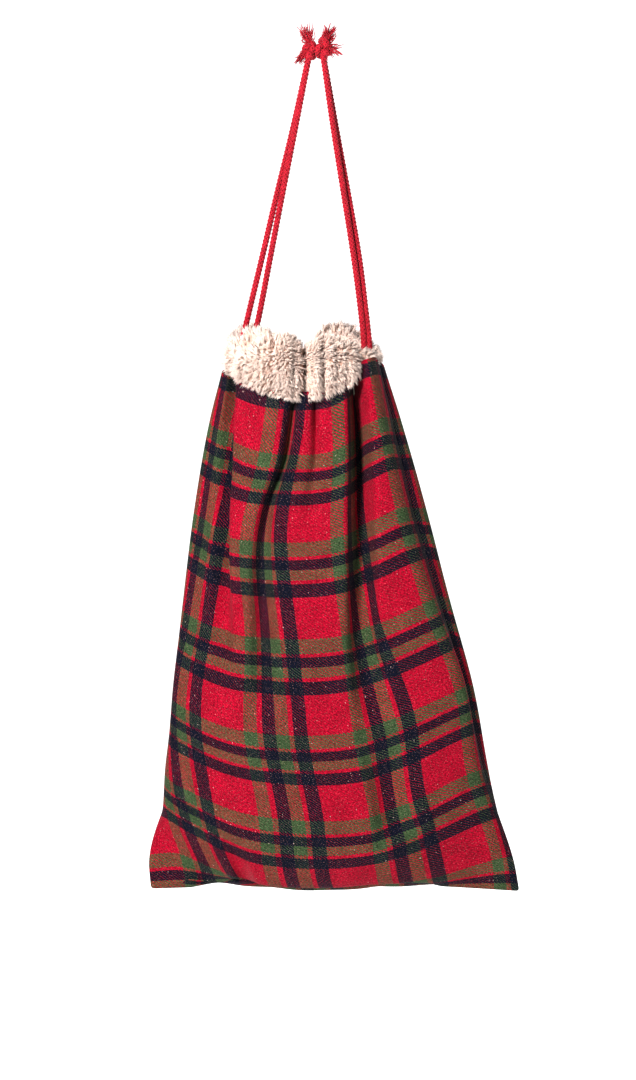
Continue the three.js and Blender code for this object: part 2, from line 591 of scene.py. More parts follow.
@dataclass(frozen=True)
class FauxFur:
    """Shaggy cream fur, painted brown-pink towards its roots as shade deep in the pile."""

    root: tuple = (0.68, 0.47, 0.38)
    middle: tuple = (0.88, 0.72, 0.63)
    end: tuple = (0.92, 0.79, 0.72)

    def build(self) -> bpy.types.Material:
        """Makes the pile: painted dark at its roots as shade deep in the pile, pale at its tips, streaked
        from lock to lock.

        Returns:
            The material.
        """
        kit = Finish("cream_faux_fur")
        tip = kit.tree.nodes.new("ShaderNodeAttribute")
        tip.attribute_name = TIP
        place = kit.place()
        streak = kit.noise(kit.stretch(place, (1.0, 1.0, 0.35)), 420.0, 2.0)
        along = kit.sum("MULTIPLY_ADD", kit.sum("SUBTRACT", streak, 0.5), 0.45, tip.outputs["Fac"])
        # Painted shade: the colour darkens from tip to root, standing in for the shade deep in the pile.
        colour = kit.ramp(along, [(0.0, self.root), (0.34, self.middle), (0.8, self.end)]).outputs[0]
        cloud = kit.noise(place, 70.0, 2.0)
        colour = kit.tint(colour, cloud, (0.3, (0.88, 0.84, 0.82)), (0.7, (1.06,) * 3))
        kit.set(Base_Color=colour, Roughness=0.7, Sheen_Weight=0.35, Sheen_Roughness=0.5)
        kit.set(Specular_IOR_Level=0.3)
        kit.bump(kit.noise(place, 1600.0, 1.0), 0.3, 0.0002)
        return kit.material


@dataclass(frozen=True)
class BraidedCotton:
    """Red cotton yarn, laid in braided strands."""

    deep: tuple = (0.25, 0.001, 0.010)
    bright: tuple = (0.50, 0.012, 0.034)

    def build(self) -> bpy.types.Material:
        """Makes the yarn: fine fibres along each strand, with a soft sheen.

        Returns:
            The material.
        """
        kit = Finish("braided_red_cotton")
        place = kit.place(YARN_MAP)
        fibre = kit.noise(kit.stretch(place, (9.0, 120.0, 1.0)), 1.0, 3.0)
        blotch = kit.noise(kit.place(), 260.0, 2.0)
        both = kit.sum("MULTIPLY_ADD", blotch, 0.5, kit.sum("MULTIPLY", fibre, 0.5))
        colour = kit.ramp(both, [(0.34, self.deep), (0.62, self.bright)]).outputs[0]
        kit.set(Base_Color=colour, Roughness=0.75, Sheen_Weight=0.25, Sheen_Roughness=0.4)
        kit.set(Sheen_Tint=(1.0, 0.6, 0.6, 1.0), Specular_IOR_Level=0.3)
        kit.bump(fibre, 0.5, 0.0003)
        return kit.material


@dataclass(frozen=True)
class PlainTape:
    """Unbleached cotton tape in plain weave."""

    thread_pitch: float = 0.0009

    def build(self) -> bpy.types.Material:
        """Makes the weave from two sets of crossing threads.

        Returns:
            The material.
        """
        kit = Finish("plain_cotton_tape")
        place = kit.place(CLOTH_MAP)
        turn = 2 * math.pi / self.thread_pitch
        first = kit.sum("SINE", kit.sum("MULTIPLY", kit.axis(place, "X"), turn))
        second = kit.sum("SINE", kit.sum("MULTIPLY", kit.axis(place, "Y"), turn))
        weave = kit.sum("MULTIPLY_ADD", kit.sum("MULTIPLY", first, second), 0.5, 0.5)
        colour = kit.ramp(weave, [(0.1, (0.44, 0.36, 0.28)), (0.8, (0.72, 0.64, 0.54))]).outputs[0]
        kit.set(Base_Color=colour, Roughness=0.9, Sheen_Weight=0.1)
        kit.bump(weave, 0.5, 0.0003)
        return kit.material


# ---------------------------------------------------------------- studio


@dataclass(frozen=True)
class Studio:
    """The camera, the pale floor and the soft lights.

    Places are in metres. Each lamp has its name, its place, the side of its square and its power in watts.
    """

    eye: tuple = (0.0024, -3.0, -0.583)
    seen_height: float = 1.296
    film: float = 36.0
    floor_level: float = -1.42
    floor_half: float = 6.0
    aim: tuple = (0.0, 0.0, -0.62)
    lamps: tuple = (
        ("key", (-1.4, -2.6, 0.55), 0.7, 150.0),
        ("fill", (1.9, -2.1, -1.1), 1.4, 16.0),
        ("back_left", (-1.3, 2.2, 0.6), 1.2, 30.0),
        ("back_right", (1.7, 1.8, 0.2), 1.2, 22.0),
    )
    background: float = 1.05
    room_light: tuple = (("From Min", -0.9), ("From Max", -0.25), ("To Min", 1.6), ("To Max", 0.10))
    exposure: float = 0.30
    gamma: float = 0.83

    def camera(self) -> None:
        """Stands the camera straight in front of the sack."""
        data = bpy.data.cameras.new("camera")
        data.sensor_fit = "VERTICAL"
        data.sensor_height = self.film
        data.lens = self.film * abs(self.eye[1]) / self.seen_height
        made = bpy.data.objects.new("camera", data)
        made.location = self.eye
        made.rotation_euler = (math.pi / 2, 0.0, 0.0)
        bpy.context.scene.collection.objects.link(made)
        bpy.context.scene.camera = made

    def floor(self) -> None:
        """Lays the plain pale floor under the sack."""
        half, level = self.floor_half, self.floor_level
        mesh = bpy.data.meshes.new("floor")
        corners = [(-half, -half, level), (half, -half, level), (half, half, level), (-half, half, level)]
        mesh.from_pydata(corners, [], [(0, 1, 2, 3)])
        kit = Finish("pale_floor")
        kit.set(Base_Color=(0.8, 0.8, 0.8, 1.0), Roughness=0.9)
        kit.set(Emission_Color=(1.0, 1.0, 1.0, 1.0), Emission_Strength=1.0)
        mesh.materials.append(kit.material)
        made = bpy.data.objects.new("floor", mesh)
        made.visible_diffuse = made.visible_shadow = False
        bpy.context.scene.collection.objects.link(made)

    def world(self) -> None:
        """Fills the room with soft light, stronger from the white floor, behind a white background."""
        world = bpy.data.worlds.new("studio")
        world.use_nodes = True
        tree = world.node_tree
        shade = tree.nodes["Background"]
        shade.inputs["Color"].default_value = (1.0, 1.0, 1.0, 1.0)
        seen = tree.nodes.new("ShaderNodeLightPath")
        level = tree.nodes.new("ShaderNodeMapRange")
        level.inputs["To Max"].default_value = self.background
        way = tree.nodes.new("ShaderNodeTexCoord")
        split = tree.nodes.new("ShaderNodeSeparateXYZ")
        rise = tree.nodes.new("ShaderNodeMapRange")
        for name, value in self.room_light:
            rise.inputs[name].default_value = value
        tree.links.new(way.outputs["Generated"], split.inputs["Vector"])
        tree.links.new(split.outputs["Z"], rise.inputs["Value"])
        tree.links.new(rise.outputs["Result"], level.inputs["To Min"])
        tree.links.new(seen.outputs["Is Camera Ray"], level.inputs["Value"])
        tree.links.new(level.outputs["Result"], shade.inputs["Strength"])
        bpy.context.scene.world = world

    def lamp(self, name: str, place: tuple, size: float, power: float) -> None:
        """Hangs one square soft light.

        Args:
            name: the light's name.
            place: where it hangs.
            size: the side of its square.
            power: its power in watts.
        """
        data = bpy.data.lights.new(name, "AREA")
        data.energy = power
        data.size = size
        made = bpy.data.objects.new(name, data)
        made.location = place
        made.rotation_euler = (Vector(self.aim) - Vector(place)).to_track_quat("-Z", "Y").to_euler()
        bpy.context.scene.collection.objects.link(made)

    def build(self) -> None:
        """Makes the whole studio, camera first."""
        self.camera()
        self.floor()
        self.world()
        view = bpy.context.scene.view_settings
        view.view_transform = "Standard"
        view.exposure, view.gamma = self.exposure, self.gamma
        for lamp in self.lamps:
            self.lamp(*lamp)


# ---------------------------------------------------------------- cords and knots


@dataclass(frozen=True)
class Braid:
    """A round braid of eight strands over a core, four laid each way. Sizes are in millimetres."""

    radius: float = CORD_RADIUS
    turn: float = 20.0
    per_hand: int = 4
    step: float = 1.25
    sides: int = 6

    def add(self, parts: MeshParts, path: np.ndarray) -> None:
        """Adds the braid along a path.

        Args:
            parts: the mesh being collected.
            path: the cord's centre line.
        """
        line = even(path, self.step)
        side, other = sweep_frames(line)
        reach = np.linspace(0, self.step * (len(line) - 1), len(line))
        core = np.full((len(line), 2), self.radius * 0.56)
        parts.tube(line, side, other, core, self.sides)
        wave = np.cos(2 * math.pi * self.per_hand * reach / self.turn)
        for hand in (1, -1):
            for k in range(self.per_hand):
                angle = hand * 2 * math.pi * reach / self.turn + 2 * math.pi * k / self.per_hand
                out = np.cos(angle)[:, None] * side + np.sin(angle)[:, None] * other
                far = self.radius * (0.78 + 0.12 * hand * wave)
                centre = line + out * far[:, None]
                wide = unit(np.cross(np.gradient(centre, axis=0), out))
                size = np.tile((self.radius * 0.25, self.radius * 0.39), (len(line), 1))
                parts.tube(centre, out, wide, size, self.sides)


@dataclass(frozen=True)
class Leg:
    """One leg of a drawcord, from its knot to its channel, in millimetres."""

    name: str
    points: tuple
    tail_end: float = -419.7

    def route(self) -> np.ndarray:
        """Gives the cord's centre line, smooth down to its bend and straight below it."""
        x, y, _ = self.points[-1]
        top = np.asarray(self.points[0]) * (0.85, 1.0, 0.0)
        return np.vstack([[top], spline(self.points, 12), [(x, y, -402.0)], [(x, y, self.tail_end)]])


@dataclass
class DrawCords:
    """The four hanging legs of the two drawcords."""

    legs: tuple = (
        Leg("left_outer", ((-10.2, 3.9, -9.5), (-28, 3.8, -90), (-48, 3.2, -172), (-65, 1.5, -245),
                           (-81, 0, -312), (-89.5, 0, -350), (-91, 0, -383.8))),
        Leg("left_inner", ((-9.6, -3.9, -9.5), (-25, -3.8, -90), (-41, -3.2, -172), (-55, -1.5, -245),
                           (-69, 0, -317), (-78, 0, -352), (-80.5, 0, -383.8))),
        Leg("right_inner", ((9.6, -3.9, -9.5), (21, -3.9, -90), (34, -3.4, -172), (45.5, -2.6, -245),
                            (53.4, -1.8, -305), (57.4, -1.2, -346), (57.6, 0, -383.8))),
        Leg("right_outer", ((10.2, 3.9, -9.5), (24.5, 3.9, -90), (39.5, 3.4, -172), (52, 2.6, -245),
                            (59.4, 1.8, -305), (63.8, 1.2, -346), (65.0, 0, -383.8))),
    )
    bend_from: float = -370.0
    bend_to: float = -390.0
    exit_level: float = -400.0

    def build(self, material: bpy.types.Material, ends: dict[str, list]) -> None:
        """Makes each leg as a braided cord that bends where the sack tilts.

        Args:
            material: the cord's material.
            ends: the knot pieces on each cord, by the leg's name; not used.
        """
        for leg in self.legs:
            route = leg.route()
            parts = MeshParts()
            Braid().add(parts, route)
            piece = dress(parts.piece(leg.name + "_cord", YARN_MAP), material)
            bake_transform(piece)
            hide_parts(leg.name + "_leg", leg.name + "_tail")
            length = float(np.linalg.norm(np.diff(route, axis=0), axis=1).sum()) * MM
            LOG.info("%s cord is %.3f m long", leg.name, length)


@dataclass(frozen=True)
class Knot:
    """An overhand knot: where it is, its half size, and how it is turned."""

    name: str
    centre: tuple
    half: tuple
    spin: float

    def build(self, material: bpy.types.Material) -> bpy.types.Object:
        """Winds the braid into the knot.

        Args:
            material: the cord's material.

        Returns:
            The knot.
        """
        t = np.linspace(-0.30, 2 * math.pi - 0.75, 90)
        wide, deep, high = np.sin(t) + 2 * np.sin(2 * t), -1.5 * np.sin(3 * t), np.cos(t) - 2 * np.cos(2 * t)
        level, steep = math.cos(self.spin), math.sin(self.spin)
        turned = np.stack([wide * level - high * steep, deep, wide * steep + high * level], 1)
        room = np.asarray(self.half) - 2.6
        path = np.asarray(self.centre) + turned / np.abs(turned).max(axis=0) * room
        parts = MeshParts()
        Braid(radius=3.7, turn=17.0, step=0.9).add(parts, path)
        piece = dress(parts.piece(self.name + "_braided", YARN_MAP), material)
        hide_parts(self.name)
        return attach(piece, Body.KNOTS.value)


@dataclass(frozen=True)
class FrayedEnd:
    """A cord's end, unlaid into curling yarns, in millimetres."""

    name: str
    start: tuple
    end: tuple
    spread: float
    seed: int
    yarns: int = 26

    def build(self, material: bpy.types.Material) -> bpy.types.Object:
        """Curls the yarns out of the knot.

        Args:
            material: the cord's material.

        Returns:
            The frayed end.
        """
        draw = random.Random(self.seed)
        parts = MeshParts()
        start, end = np.asarray(self.start, float), np.asarray(self.end, float)
        length = float(np.linalg.norm(end - start))
        for _ in range(self.yarns):
            foot = start + np.array([draw.uniform(-3.0, 3.0) for _ in range(3)])
            stray = np.array([draw.uniform(-1, 1) for _ in range(3)])
            aim = end + stray * (self.spread, self.spread * 0.7, self.spread)
            reach = draw.uniform(0.65, 1.0)
            curl = np.array([draw.uniform(-1, 1) for _ in range(3)]) * length * 0.22
            middle = foot + (aim - foot) * 0.5 * reach + curl
            tip = foot + (aim - foot) * reach
            line = spline([foot, middle, tip], 6)
            side, other = sweep_frames(line)
            taper = np.linspace(draw.uniform(0.55, 0.85), 0.32, len(line))[:, None]
            parts.tube(line, side, other, np.hstack([taper, taper]), 4)
        piece = dress(parts.piece(self.name + "_yarns", YARN_MAP), material)
        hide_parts(self.name)
        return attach(piece, Body.KNOTS.value)


@dataclass
class HangingEnds:
    """The two knots over the hook, with their frayed ends."""

    knots: tuple = (
        Knot("left_knot", (-7.4, 0.0, 4.5), (8.6, 8.0, 11.0), 0.5),
        Knot("right_knot", (9.0, 0.0, 7.0), (10.6, 8.5, 13.0), -0.9),
    )
    frays: tuple = (
        FrayedEnd("left_upper_fray", (-8.0, 0.0, 12.0), (-12.5, -1.0, 28.0), 10.5, 11, 90),
        FrayedEnd("left_lower_fray", (-12.0, -2.0, 3.0), (-22.0, -4.0, -9.5), 5.0, 12, 45),
        FrayedEnd("right_upper_fray", (10.0, 0.0, 15.0), (17.0, -1.0, 28.0), 10.0, 13, 100),
        FrayedEnd("right_lower_fray", (14.0, -3.5, 8.0), (23.0, -8.0, 2.0), 12.0, 14, 60),
    )

    def build(self, material: bpy.types.Material) -> dict[str, list]:
        """Makes the knots and frays.

        Args:
            material: the cord's material.

        Returns:
            The pieces on the end of each drawcord, by the name of its outer leg.
        """
        made = [piece.build(material) for piece in self.knots + self.frays]
        left = [piece for piece in made if piece.name.startswith("left")]
        return {"left_outer": left, "right_outer": [piece for piece in made if piece not in left]}


# ---------------------------------------------------------------- the sack's cloth


@dataclass(frozen=True)
class Column:
    """How one vertical line of the cloth hangs: its place across the cloth, and x, y and z at each height."""

    across: float
    x: tuple
    y: tuple
    z: tuple


@dataclass(frozen=True)
class Fold:
    """A fold of spare cloth between two columns.

    Its mouths give, at rising heights, the place of its middle between the columns, its half width and its
    share of the spare cloth.
    """

    between: int
    mouths: tuple
    steep: float = 0.62

    def bump(self, t: np.ndarray, up: float) -> np.ndarray:
        """Gives the fold's depth along the way from column to column, at most its share.

        Args:
            t: the places between the columns, from nought to one.
            up: the height up the cloth.

        Returns:
            The depth at each place.
        """
        heights, places, widths, shares = zip(*self.mouths)
        middle, width = np.interp(up, heights, places), np.interp(up, heights, widths)
        near = np.clip((t - middle) / width, -1, 1)
        return np.interp(up, heights, shares) * (0.5 + 0.5 * np.cos(math.pi * near)) ** self.steep


HEIGHTS = (0.0, 42.0, 92.0, 155.0, 268.0, 381.0, 494.0, 607.0, 675.0)
MIDDLE_FALL = (-968, -993, -968, -911, -810, -697, -583, -479, -404)
SIDE_FALL = (-992, -962, -920, -866, -766, -661, -549, -441, -380)
SEAM_FALL = (-1002, -962, -914, -858, -754, -649, -545, -440, -377)
LEFT_SEAM = Column(
    -225, (-198, -200, -187, -160, -128, -118, -112, -106, -102), (0, 3, 16, 30, 42, 44, 42, 32, 16),
    SEAM_FALL,
)
RIGHT_SEAM = Column(
    225, (244, 236, 220, 202, 179, 147, 117, 92, 75), (0, 0, -2, -4, -8, -12, -14, -12, -8),
    (-1002, -962, -914, -858, -754, -649, -545, -438, -367),
)


@dataclass
class SackBody:
    """The gathered cloth body. Its columns say how the cloth hangs; a short cloth run then settles it."""

    columns: int = 76
    rows: int = 92
    settle_frames: int = 14
    front: tuple = (
        LEFT_SEAM,
        Column(-183, (-156, -164, -178, -181, -165, -158, -146, -127, -111),
               (0, -5, -6, 4, 20, 20, 14, 8, 2),
               (-1002, -960, -916, -863, -766, -661, -549, -441, -380)),
        Column(-142, (-116, -123, -140, -155, -165, -149, -131, -116, -106),
               (0, -12, -24, -26, -6, -4, -4, -6, -6),
               (-1000, -979, -936, -880, -780, -675, -560, -452, -386)),
        Column(-58, (-48, -56, -64, -69, -86, -85, -91, -68, -58),
               (-2, -22, -42, -50, -48, -46, -46, -42, -38),
               (-984, -996, -966, -909, -809, -697, -583, -479, -404)),
        Column(67, (80, 74, 68, 62, 42, 29, 16, 19, 16),
               (0, -20, -44, -50, -50, -48, -48, -44, -38),
               (-986, -997, -966, -911, -810, -697, -583, -479, -404)),
        Column(192, (213, 210, 196, 178, 164, 125, 93, 72, 60),
               (0, -6, -18, -28, -33, -39, -40, -40, -34),
               (-1002, -967, -920, -863, -764, -660, -548, -441, -369)),
        RIGHT_SEAM,
    )
    back: tuple = (
        RIGHT_SEAM,
        Column(190, (212, 210, 206, 199, 183, 157, 130, 99, 79),
               (0, 8, 16, 18, 14, 12, 10, 10, 10), SIDE_FALL),
        Column(75, (88, 92, 98, 92, 82, 74, 64, 50, 38),
               (0, 20, 42, 48, 48, 48, 46, 42, 34), MIDDLE_FALL),
        Column(-75, (-64, -56, -48, -45, -48, -58, -60, -50, -38),
               (0, 20, 42, 50, 50, 48, 46, 42, 34), MIDDLE_FALL),
        LEFT_SEAM,
    )
    front_folds: tuple = (
        Fold(2, ((381, 0.67, 0.20, 1.0), (494, 0.57, 0.26, 1.0), (607, 0.23, 0.22, 1.0),
                 (675, 0.12, 0.18, 1.0)), 0.45),
        Fold(2, ((540, 0.95, 0.10, 0.0), (607, 0.90, 0.12, 0.28), (675, 0.92, 0.12, 0.32))),
        Fold(3, ((381, 0.22, 0.18, 0.4), (494, 0.30, 0.13, 0.5), (560, 0.31, 0.10, 0.8),
                 (607, 0.39, 0.085, 0.85), (675, 0.45, 0.09, 0.8))),
        Fold(3, ((494, 0.76, 0.12, 0.0), (590, 0.77, 0.10, 0.35), (640, 0.76, 0.075, 0.6),
                 (675, 0.75, 0.075, 0.65))),
        Fold(4, ((268, 0.22, 0.18, 1.0), (381, 0.25, 0.19, 1.0), (494, 0.44, 0.21, 1.0),
                 (607, 0.58, 0.30, 1.0), (675, 0.68, 0.32, 1.0)), 0.42),
    )
    back_folds: tuple = (
        Fold(1, ((540, 0.28, 0.16, 0.5), (640, 0.19, 0.12, 0.5))),
        Fold(1, ((540, 0.72, 0.16, 0.5), (640, 0.81, 0.12, 0.5))),
        Fold(1, ((540, 0.50, 0.08, 0.0), (640, 0.50, 0.12, 0.5))),
        Fold(2, ((540, 0.30, 0.18, 0.5), (640, 0.14, 0.11, 0.5))),
        Fold(2, ((540, 0.50, 0.06, 0.0), (640, 0.39, 0.11, 0.5))),
        Fold(2, ((540, 0.54, 0.06, 0.0), (640, 0.63, 0.11, 0.5))),
        Fold(2, ((540, 0.74, 0.18, 0.5), (640, 0.87, 0.11, 0.5))),
        Fold(3, ((540, 0.20, 0.14, 0.45), (640, 0.14, 0.11, 0.5))),
        Fold(3, ((540, 0.40, 0.06, 0.0), (640, 0.42, 0.11, 0.5))),
        Fold(3, ((540, 0.60, 0.16, 0.55), (640, 0.72, 0.12, 0.5))),
    )
    hem_across: tuple = (-205.0, -150.0, -60.0, 70.0, 150.0, 250.0)
    hem: tuple = (-1001.5, -999.5, -981.0, -976.0, -997.5, -1004.5)
    hem_rows: float = 14.0
    held_below: float = 20.0
    loose_over: float = 120.0
    fine: int = 81
    thickness: float = 1.3
    seam_rows: tuple = (18, -6)
    hem_ends: tuple = (18, 17)
    allowance: tuple = (3.0, 12.0)
    allowance_thickness: float = 2.2
    drape: np.ndarray = field(default_factory=lambda: np.zeros((0, 0, 3)))

    def span(self, knots: np.ndarray, i: int, cloth: float, folds: Sequence[Fold], up: float) -> np.ndarray:
        """Lays the cloth between two columns at one height, its spare width taken up in folds.

        Args:
            knots: the columns' places at that height.
            i: the number of the first of the two columns.
            cloth: the width of cloth between them.
            folds: the folds between them.
            up: the height up the cloth.

        Returns:
            The cloth's line from column to column.
        """
        run = np.vstack([2 * knots[0] - knots[1], knots, 2 * knots[-1] - knots[-2]])
        base = spline(run[i:i + 4], self.fine - 1)[self.fine - 1:2 * self.fine - 1]
        base[-1] = knots[i + 1]
        ahead = np.gradient(base, axis=0)
        inward = unit(np.stack([-ahead[:, 1], ahead[:, 0], np.zeros(len(base))], 1))
        t = np.linspace(0, 1, len(base))
        bump = sum((fold.bump(t, up) for fold in folds), np.zeros(len(base)))

        def laid(depth: float) -> np.ndarray:
            """Pushes the folds in by a depth."""
            return base + inward * (bump * depth)[:, None]

        low, high = 0.0, 90.0
        for _ in range(24 if folds else 0):
            depth = (low + high) / 2
            width = np.linalg.norm(np.diff(laid(depth)[:, :2], axis=0), axis=1).sum()
            low, high = (depth, high) if width < cloth else (low, depth)
        return laid(low)

    def row(self, columns: Sequence[Column], folds: Sequence[Fold], up: float) -> np.ndarray:
        """Lays one row of a panel.

        Args:
            columns: the panel's columns, from seam to seam.
            folds: the panel's folds.
            up: the row's height up the cloth.

        Returns:
            The row's points, evenly spaced across the cloth.
        """
        knots = np.array([[smooth_value(HEIGHTS, line, up) for line in (c.x, c.y, c.z)] for c in columns])
        places = [c.across for c in columns]
        points, across = [], []
        for i, (start, stop) in enumerate(zip(places, places[1:])):
            here = [fold for fold in folds if fold.between == i]
            line = self.span(knots, i, abs(stop - start), here, up)
            reach = np.r_[0, np.cumsum(np.linalg.norm(np.diff(line, axis=0), axis=1))]
            points.append(line)
            across.append(start + (stop - start) * reach / reach[-1])
        line, at = np.vstack(points), np.concatenate(across)
        turn = 1.0 if places[-1] > places[0] else -1.0
        wanted = np.linspace(places[0], places[-1], self.columns + 1)
        return np.stack([np.interp(turn * wanted, turn * at, line[:, k]) for k in range(3)], 1)

    def settle(self, ring: np.ndarray) -> np.ndarray:
        """Lets the cloth sag and even out its strain for a moment, held at its channel.

        Args:
            ring: the laid cloth, by row and place round the sack.

        Returns:
            The settled cloth.
        """
        rows, around = ring.shape[:2]
        half = self.columns
        number = np.arange(rows * around).reshape(rows, around)
        number[0, half + 1:] = number[0, around - np.arange(half + 1, around)]
        used, compact = np.unique(number, return_inverse=True)
        compact = compact.reshape(number.shape)
        lag = np.arange(around)
        share = np.where(lag <= half, lag / half - 0.5, 1.5 - lag / half)
        rise = np.arange(rows) / (rows - 1)
        puff = 4.0 * np.where(lag <= half, -1.0, 1.0) * (1 - np.abs(2 * share) ** 6)
        flat = np.zeros_like(ring)
        flat[:, :, 0] = share * SACK_WIDTH
        flat[:, :, 1] = puff * (1 - np.exp(-np.arange(rows) / 3))[:, None]
        flat[:, :, 2] = (rise * SACK_HEIGHT - 1000.0)[:, None]
        faces = []
        for j in range(rows - 1):
            for k in range(around):
                n = (k + 1) % around
                face = dict.fromkeys((compact[j, k], compact[j, n], compact[j + 1, n], compact[j + 1, k]))
                faces.append([int(c) for c in face])
        mesh = bpy.data.meshes.new("cloth_run")
        mesh.from_pydata((ring.reshape(-1, 3)[used] * MM).tolist(), [], faces)
        cloth = bpy.data.objects.new("cloth_run", mesh)
        bpy.context.scene.collection.objects.link(cloth)
        cloth.shape_key_add(name="laid")
        cut = cloth.shape_key_add(name="cut")
        cut.data.foreach_set("co", (flat.reshape(-1, 3)[used] * MM).ravel())
        cut.value = 0.0
        hold = cloth.vertex_groups.new(name="hold")
        hold.add(list(range(len(used))), 0.12, "REPLACE")
        hold.add([int(c) for c in compact[-1]], 1.0, "REPLACE")
        self.run_cloth(cloth, cut, hold.name)
        plain = frozen(cloth, "cloth_done")
        found = np.zeros(3 * len(plain.data.vertices))
        plain.data.vertices.foreach_get("co", found)
        bpy.data.objects.remove(plain)
        return found.reshape(-1, 3)[compact] / MM

    def run_cloth(self, cloth: bpy.types.Object, cut: bpy.types.ShapeKey, hold: str) -> None:
        """Runs the cloth solver for its few frames.

        Args:
            cloth: the cloth.
            cut: the shape key of its flat cut.
            hold: the group that holds it.
        """
        solver = cloth.modifiers.new("Cloth", "CLOTH")
        values = solver.settings
        values.quality = 6
        values.mass = 0.006
        values.tension_stiffness, values.compression_stiffness = 30.0, 25.0
        values.shear_stiffness, values.bending_stiffness = 8.0, 1.0
        values.tension_damping, values.compression_damping = 8.0, 8.0
        values.shear_damping, values.bending_damping = 8.0, 1.0
        values.air_damping = 4.0
        values.vertex_group_mass = hold
        values.pin_stiffness = 0.6
        values.rest_shape_key = cut
        solver.collision_settings.use_collision = False
        solver.collision_settings.use_self_collision = False
        solver.point_cache.frame_start = 1
        solver.point_cache.frame_end = self.settle_frames
        for number in range(1, self.settle_frames + 1):
            bpy.context.scene.frame_set(number)

    def lay(self) -> None:
        """Lays the cloth row by row and settles it."""
        rows = []
        for j in range(self.rows + 1):
            up = SACK_HEIGHT * j / self.rows
            front = self.row(self.front, self.front_folds, up)
            back = self.row(self.back, self.back_folds, up)
            rows.append(np.vstack([front, back[1:-1]]))
        ring = np.array(rows)
        rise = np.linspace(0, SACK_HEIGHT, self.rows + 1)
        loose = np.clip((rise - self.held_below) / self.loose_over, 0, 1)[:, None, None]
        self.drape = ring + (self.settle(ring) - ring) * loose
        hem = np.interp(self.drape[0, :, 0], self.hem_across, self.hem)
        near = np.clip(1 - np.arange(self.rows + 1) / self.hem_rows, 0, 1)[:, None]
        self.drape[:, :, 2] += (hem - self.drape[0, :, 2])[None, :] * near
        middle = self.drape.mean(axis=1, keepdims=True)
        for seam in (0, self.columns):
            pull = unit(middle[:, 0] - self.drape[:, seam]) * (1.0, 1.0, 0.0)
            fade = np.clip(np.arange(self.rows + 1) / 10.0 - 0.4, 0, 1)
            self.drape[:, seam] += pull * (1.8 * fade)[:, None]

    def face(self, side: Side) -> np.ndarray:
        """Gives one panel's points, from its left seam to its right one as cut.

        Args:
            side: the panel's side.

        Returns:
            The points, by row and column.
        """
        if side is Side.FRONT:
            return self.drape[:, :self.columns + 1]
        back = np.concatenate([self.drape[:, self.columns:], self.drape[:, :1]], axis=1)
        back[0] = self.drape[0, self.columns::-1]
        return back

    def build(self, material: bpy.types.Material) -> None:
        """Makes the two panels and the seam allowances inside them.

        Args:
            material: the tartan.
        """
        self.lay()
        allowances = self.allowances(material)
        up = np.linspace(0, SACK_HEIGHT, self.rows + 1)
        for side in Side:
            across = np.linspace(-SACK_WIDTH / 2, SACK_WIDTH / 2, self.columns + 1)
            across = across if side is Side.FRONT else -across
            maps = np.stack(np.meshgrid(across * MM, up * MM), -1)
            parts = MeshParts()
            parts.grid(self.face(side), maps)
            piece = dress(parts.piece(side.value + "_cloth", CLOTH_MAP), material)
            finer = piece.modifiers.new("finer", "SUBSURF")
            finer.levels = finer.render_levels = 1
            thick = piece.modifiers.new("thick", "SOLIDIFY")
            thick.thickness, thick.offset = self.thickness * MM, 1.0
            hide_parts(side.value + "_panel")
            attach(piece, Body.SACK.value)

    def allowances(self, material: bpy.types.Material) -> list[bpy.types.Object]:
        """Makes the turned-in seam edges.

        Args:
            material: the tartan.

        Returns:
            The three strips: left, right and bottom.
        """
        rows = slice(*self.seam_rows)
        middle = self.drape.mean(axis=1)[rows]
        strips = {
            "left_seam_allowance": (self.drape[rows, 0], middle, -SACK_WIDTH / 2),
            "right_seam_allowance": (self.drape[rows, self.columns], middle, SACK_WIDTH / 2),
        }
        made = []
        for name, (line, inside, across) in strips.items():
            inward = unit((inside - line) * (1.0, 1.0, 0.0))
            made.append(self.strip(name, line, inward, across, material))
        first, last = self.hem_ends
        line = self.drape[0, first:self.columns - last]
        inward = np.tile((0.0, 0.0, 1.0), (len(line), 1))
        made.append(self.strip("bottom_seam_allowance", line, inward, 0.0, material))
        return made

    def strip(
        self, name: str, line: np.ndarray, inward: np.ndarray, across: float, material: bpy.types.Material
    ) -> bpy.types.Object:
        """Makes one double strip of cloth standing inwards from a seam.

        Args:
            name: the CAD node it stands for.
            line: the seam's points.
            inward: the way into the sack at each.
            across: the seam's place across the cloth.
            material: the tartan.

        Returns:
            The strip.
        """
        steps = np.linspace(*self.allowance, 4)
        rows = line[:, None, :] + inward[:, None, :] * steps[None, :, None]
        reach = np.r_[0, np.cumsum(np.linalg.norm(np.diff(line, axis=0), axis=1))]
        maps = np.stack(np.meshgrid((across + steps) * MM, reach * MM), -1)
        parts = MeshParts()
        parts.grid(rows, maps)
        piece = dress(parts.piece(name + "_strip", CLOTH_MAP), material)
        thick = piece.modifiers.new("thick", "SOLIDIFY")
        thick.thickness, thick.offset = self.allowance_thickness * MM, 0.0
        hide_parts(name)
        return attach(piece, Body.SACK.value)


# ---------------------------------------------------------------- the channel


